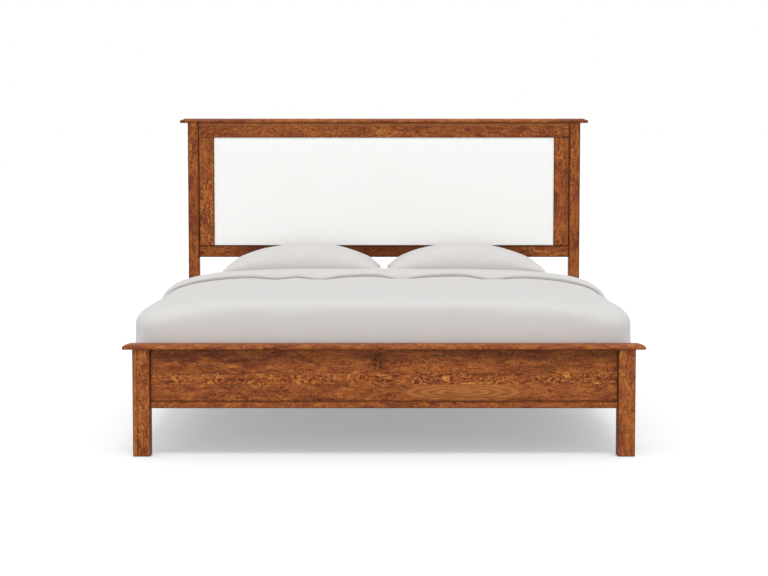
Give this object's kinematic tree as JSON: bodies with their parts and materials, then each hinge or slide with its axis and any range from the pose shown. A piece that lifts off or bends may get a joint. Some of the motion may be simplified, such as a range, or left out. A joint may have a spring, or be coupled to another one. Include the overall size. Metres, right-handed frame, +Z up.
{
  "type": "upholstered bed",
  "caption": "Wooden bed frame with an upholstered headboard panel, hook-on side rails and a slatted deck, made up with a mattress, a folded-back duvet and pillows.",
  "frame": {"origin": "on the floor, in the middle of the bed's length and width", "axes": "+Z up, +Y along the bed from the footboard to the headboard, +X across the bed to the right as seen from the foot"},
  "size_m": [2.1516, 2.207, 1.407],
  "materials": {
    "cherry": "reddish-brown stained hardwood with dark figure, satin lacquer",
    "poplar": "plain planed softwood, unfinished",
    "plywood": "plain birch plywood, unfinished",
    "linen": "off-white woven upholstery fabric, flat",
    "foam": "cream upholstery foam",
    "ticking": "off-white woven mattress ticking",
    "duvet_cotton": "pale grey-white woven cotton, soft",
    "pillow_cotton": "pale grey-white woven cotton, soft",
    "steel": "zinc-plated steel",
    "nylon": "black nylon, matt"
  },
  "bodies": {
    "frame": {"headboard_post_left": "cherry", "headboard_post_right": "cherry", "headboard_cap": "cherry", "headboard_top_rail": "cherry", "headboard_lower_rail": "cherry", "headboard_stile_left": "cherry", "headboard_stile_right": "cherry", "headboard_stretcher": "cherry", "footboard_post_left": "cherry", "footboard_post_right": "cherry", "footboard_cap": "cherry", "footboard_panel": "cherry", "footboard_bottom_rail": "cherry", "side_rail_left": "cherry", "side_rail_right": "cherry", "headboard_panel_cover": "linen", "headboard_panel_foam": "foam", "headboard_panel_board": "plywood", "panel_stop_top": "poplar", "panel_stop_bottom": "poplar", "panel_stop_left": "poplar", "panel_stop_right": "poplar", "slat_ledger_left": "poplar", "slat_ledger_right": "poplar", "centre_beam": "poplar", "centre_leg": "poplar", "slat_01": "poplar", "slat_02": "poplar", "slat_03": "poplar", "slat_04": "poplar", "slat_05": "poplar", "slat_06": "poplar", "slat_07": "poplar", "slat_08": "poplar", "slat_09": "poplar", "slat_10": "poplar", "slat_11": "poplar", "slat_12": "poplar", "slat_13": "poplar", "slat_14": "poplar", "rail_hook_plate_foot_left": "steel", "rail_hook_plate_foot_right": "steel", "rail_hook_plate_head_left": "steel", "rail_hook_plate_head_right": "steel", "post_slot_plate_foot_left": "steel", "post_slot_plate_foot_right": "steel", "post_slot_plate_head_left": "steel", "post_slot_plate_head_right": "steel", "beam_hanger_foot": "steel", "beam_hanger_head": "steel", "leveller_insert": "steel", "post_glide_foot_left": "nylon", "post_glide_foot_right": "nylon", "post_glide_head_left": "nylon", "post_glide_head_right": "nylon"},
    "leveller": {"centre_leg_leveller": "nylon"},
    "mattress": {"mattress": "ticking"},
    "duvet": {"duvet": "duvet_cotton"},
    "pillow_left": {"pillow_left": "pillow_cotton"},
    "pillow_right": {"pillow_right": "pillow_cotton"}
  },
  "joints": [
    {"name": "mattress_lift", "type": "slide", "parent": "frame", "child": "mattress", "axis": [0, 0, 1], "range_m": [0, 0.35]},
    {"name": "duvet_lift", "type": "slide", "parent": "mattress", "child": "duvet", "axis": [0, 0, 1], "range_m": [0, 0.4]},
    {"name": "pillow_left_lift", "type": "slide", "parent": "mattress", "child": "pillow_left", "axis": [0, 0, 1], "range_m": [0, 0.3]},
    {"name": "pillow_right_lift", "type": "slide", "parent": "mattress", "child": "pillow_right", "axis": [0, 0, 1], "range_m": [0, 0.3]},
    {"name": "leveller_screw", "type": "slide", "parent": "frame", "child": "leveller", "axis": [0, 0, -1], "range_m": [-0.011, 0.02]}
  ]
}
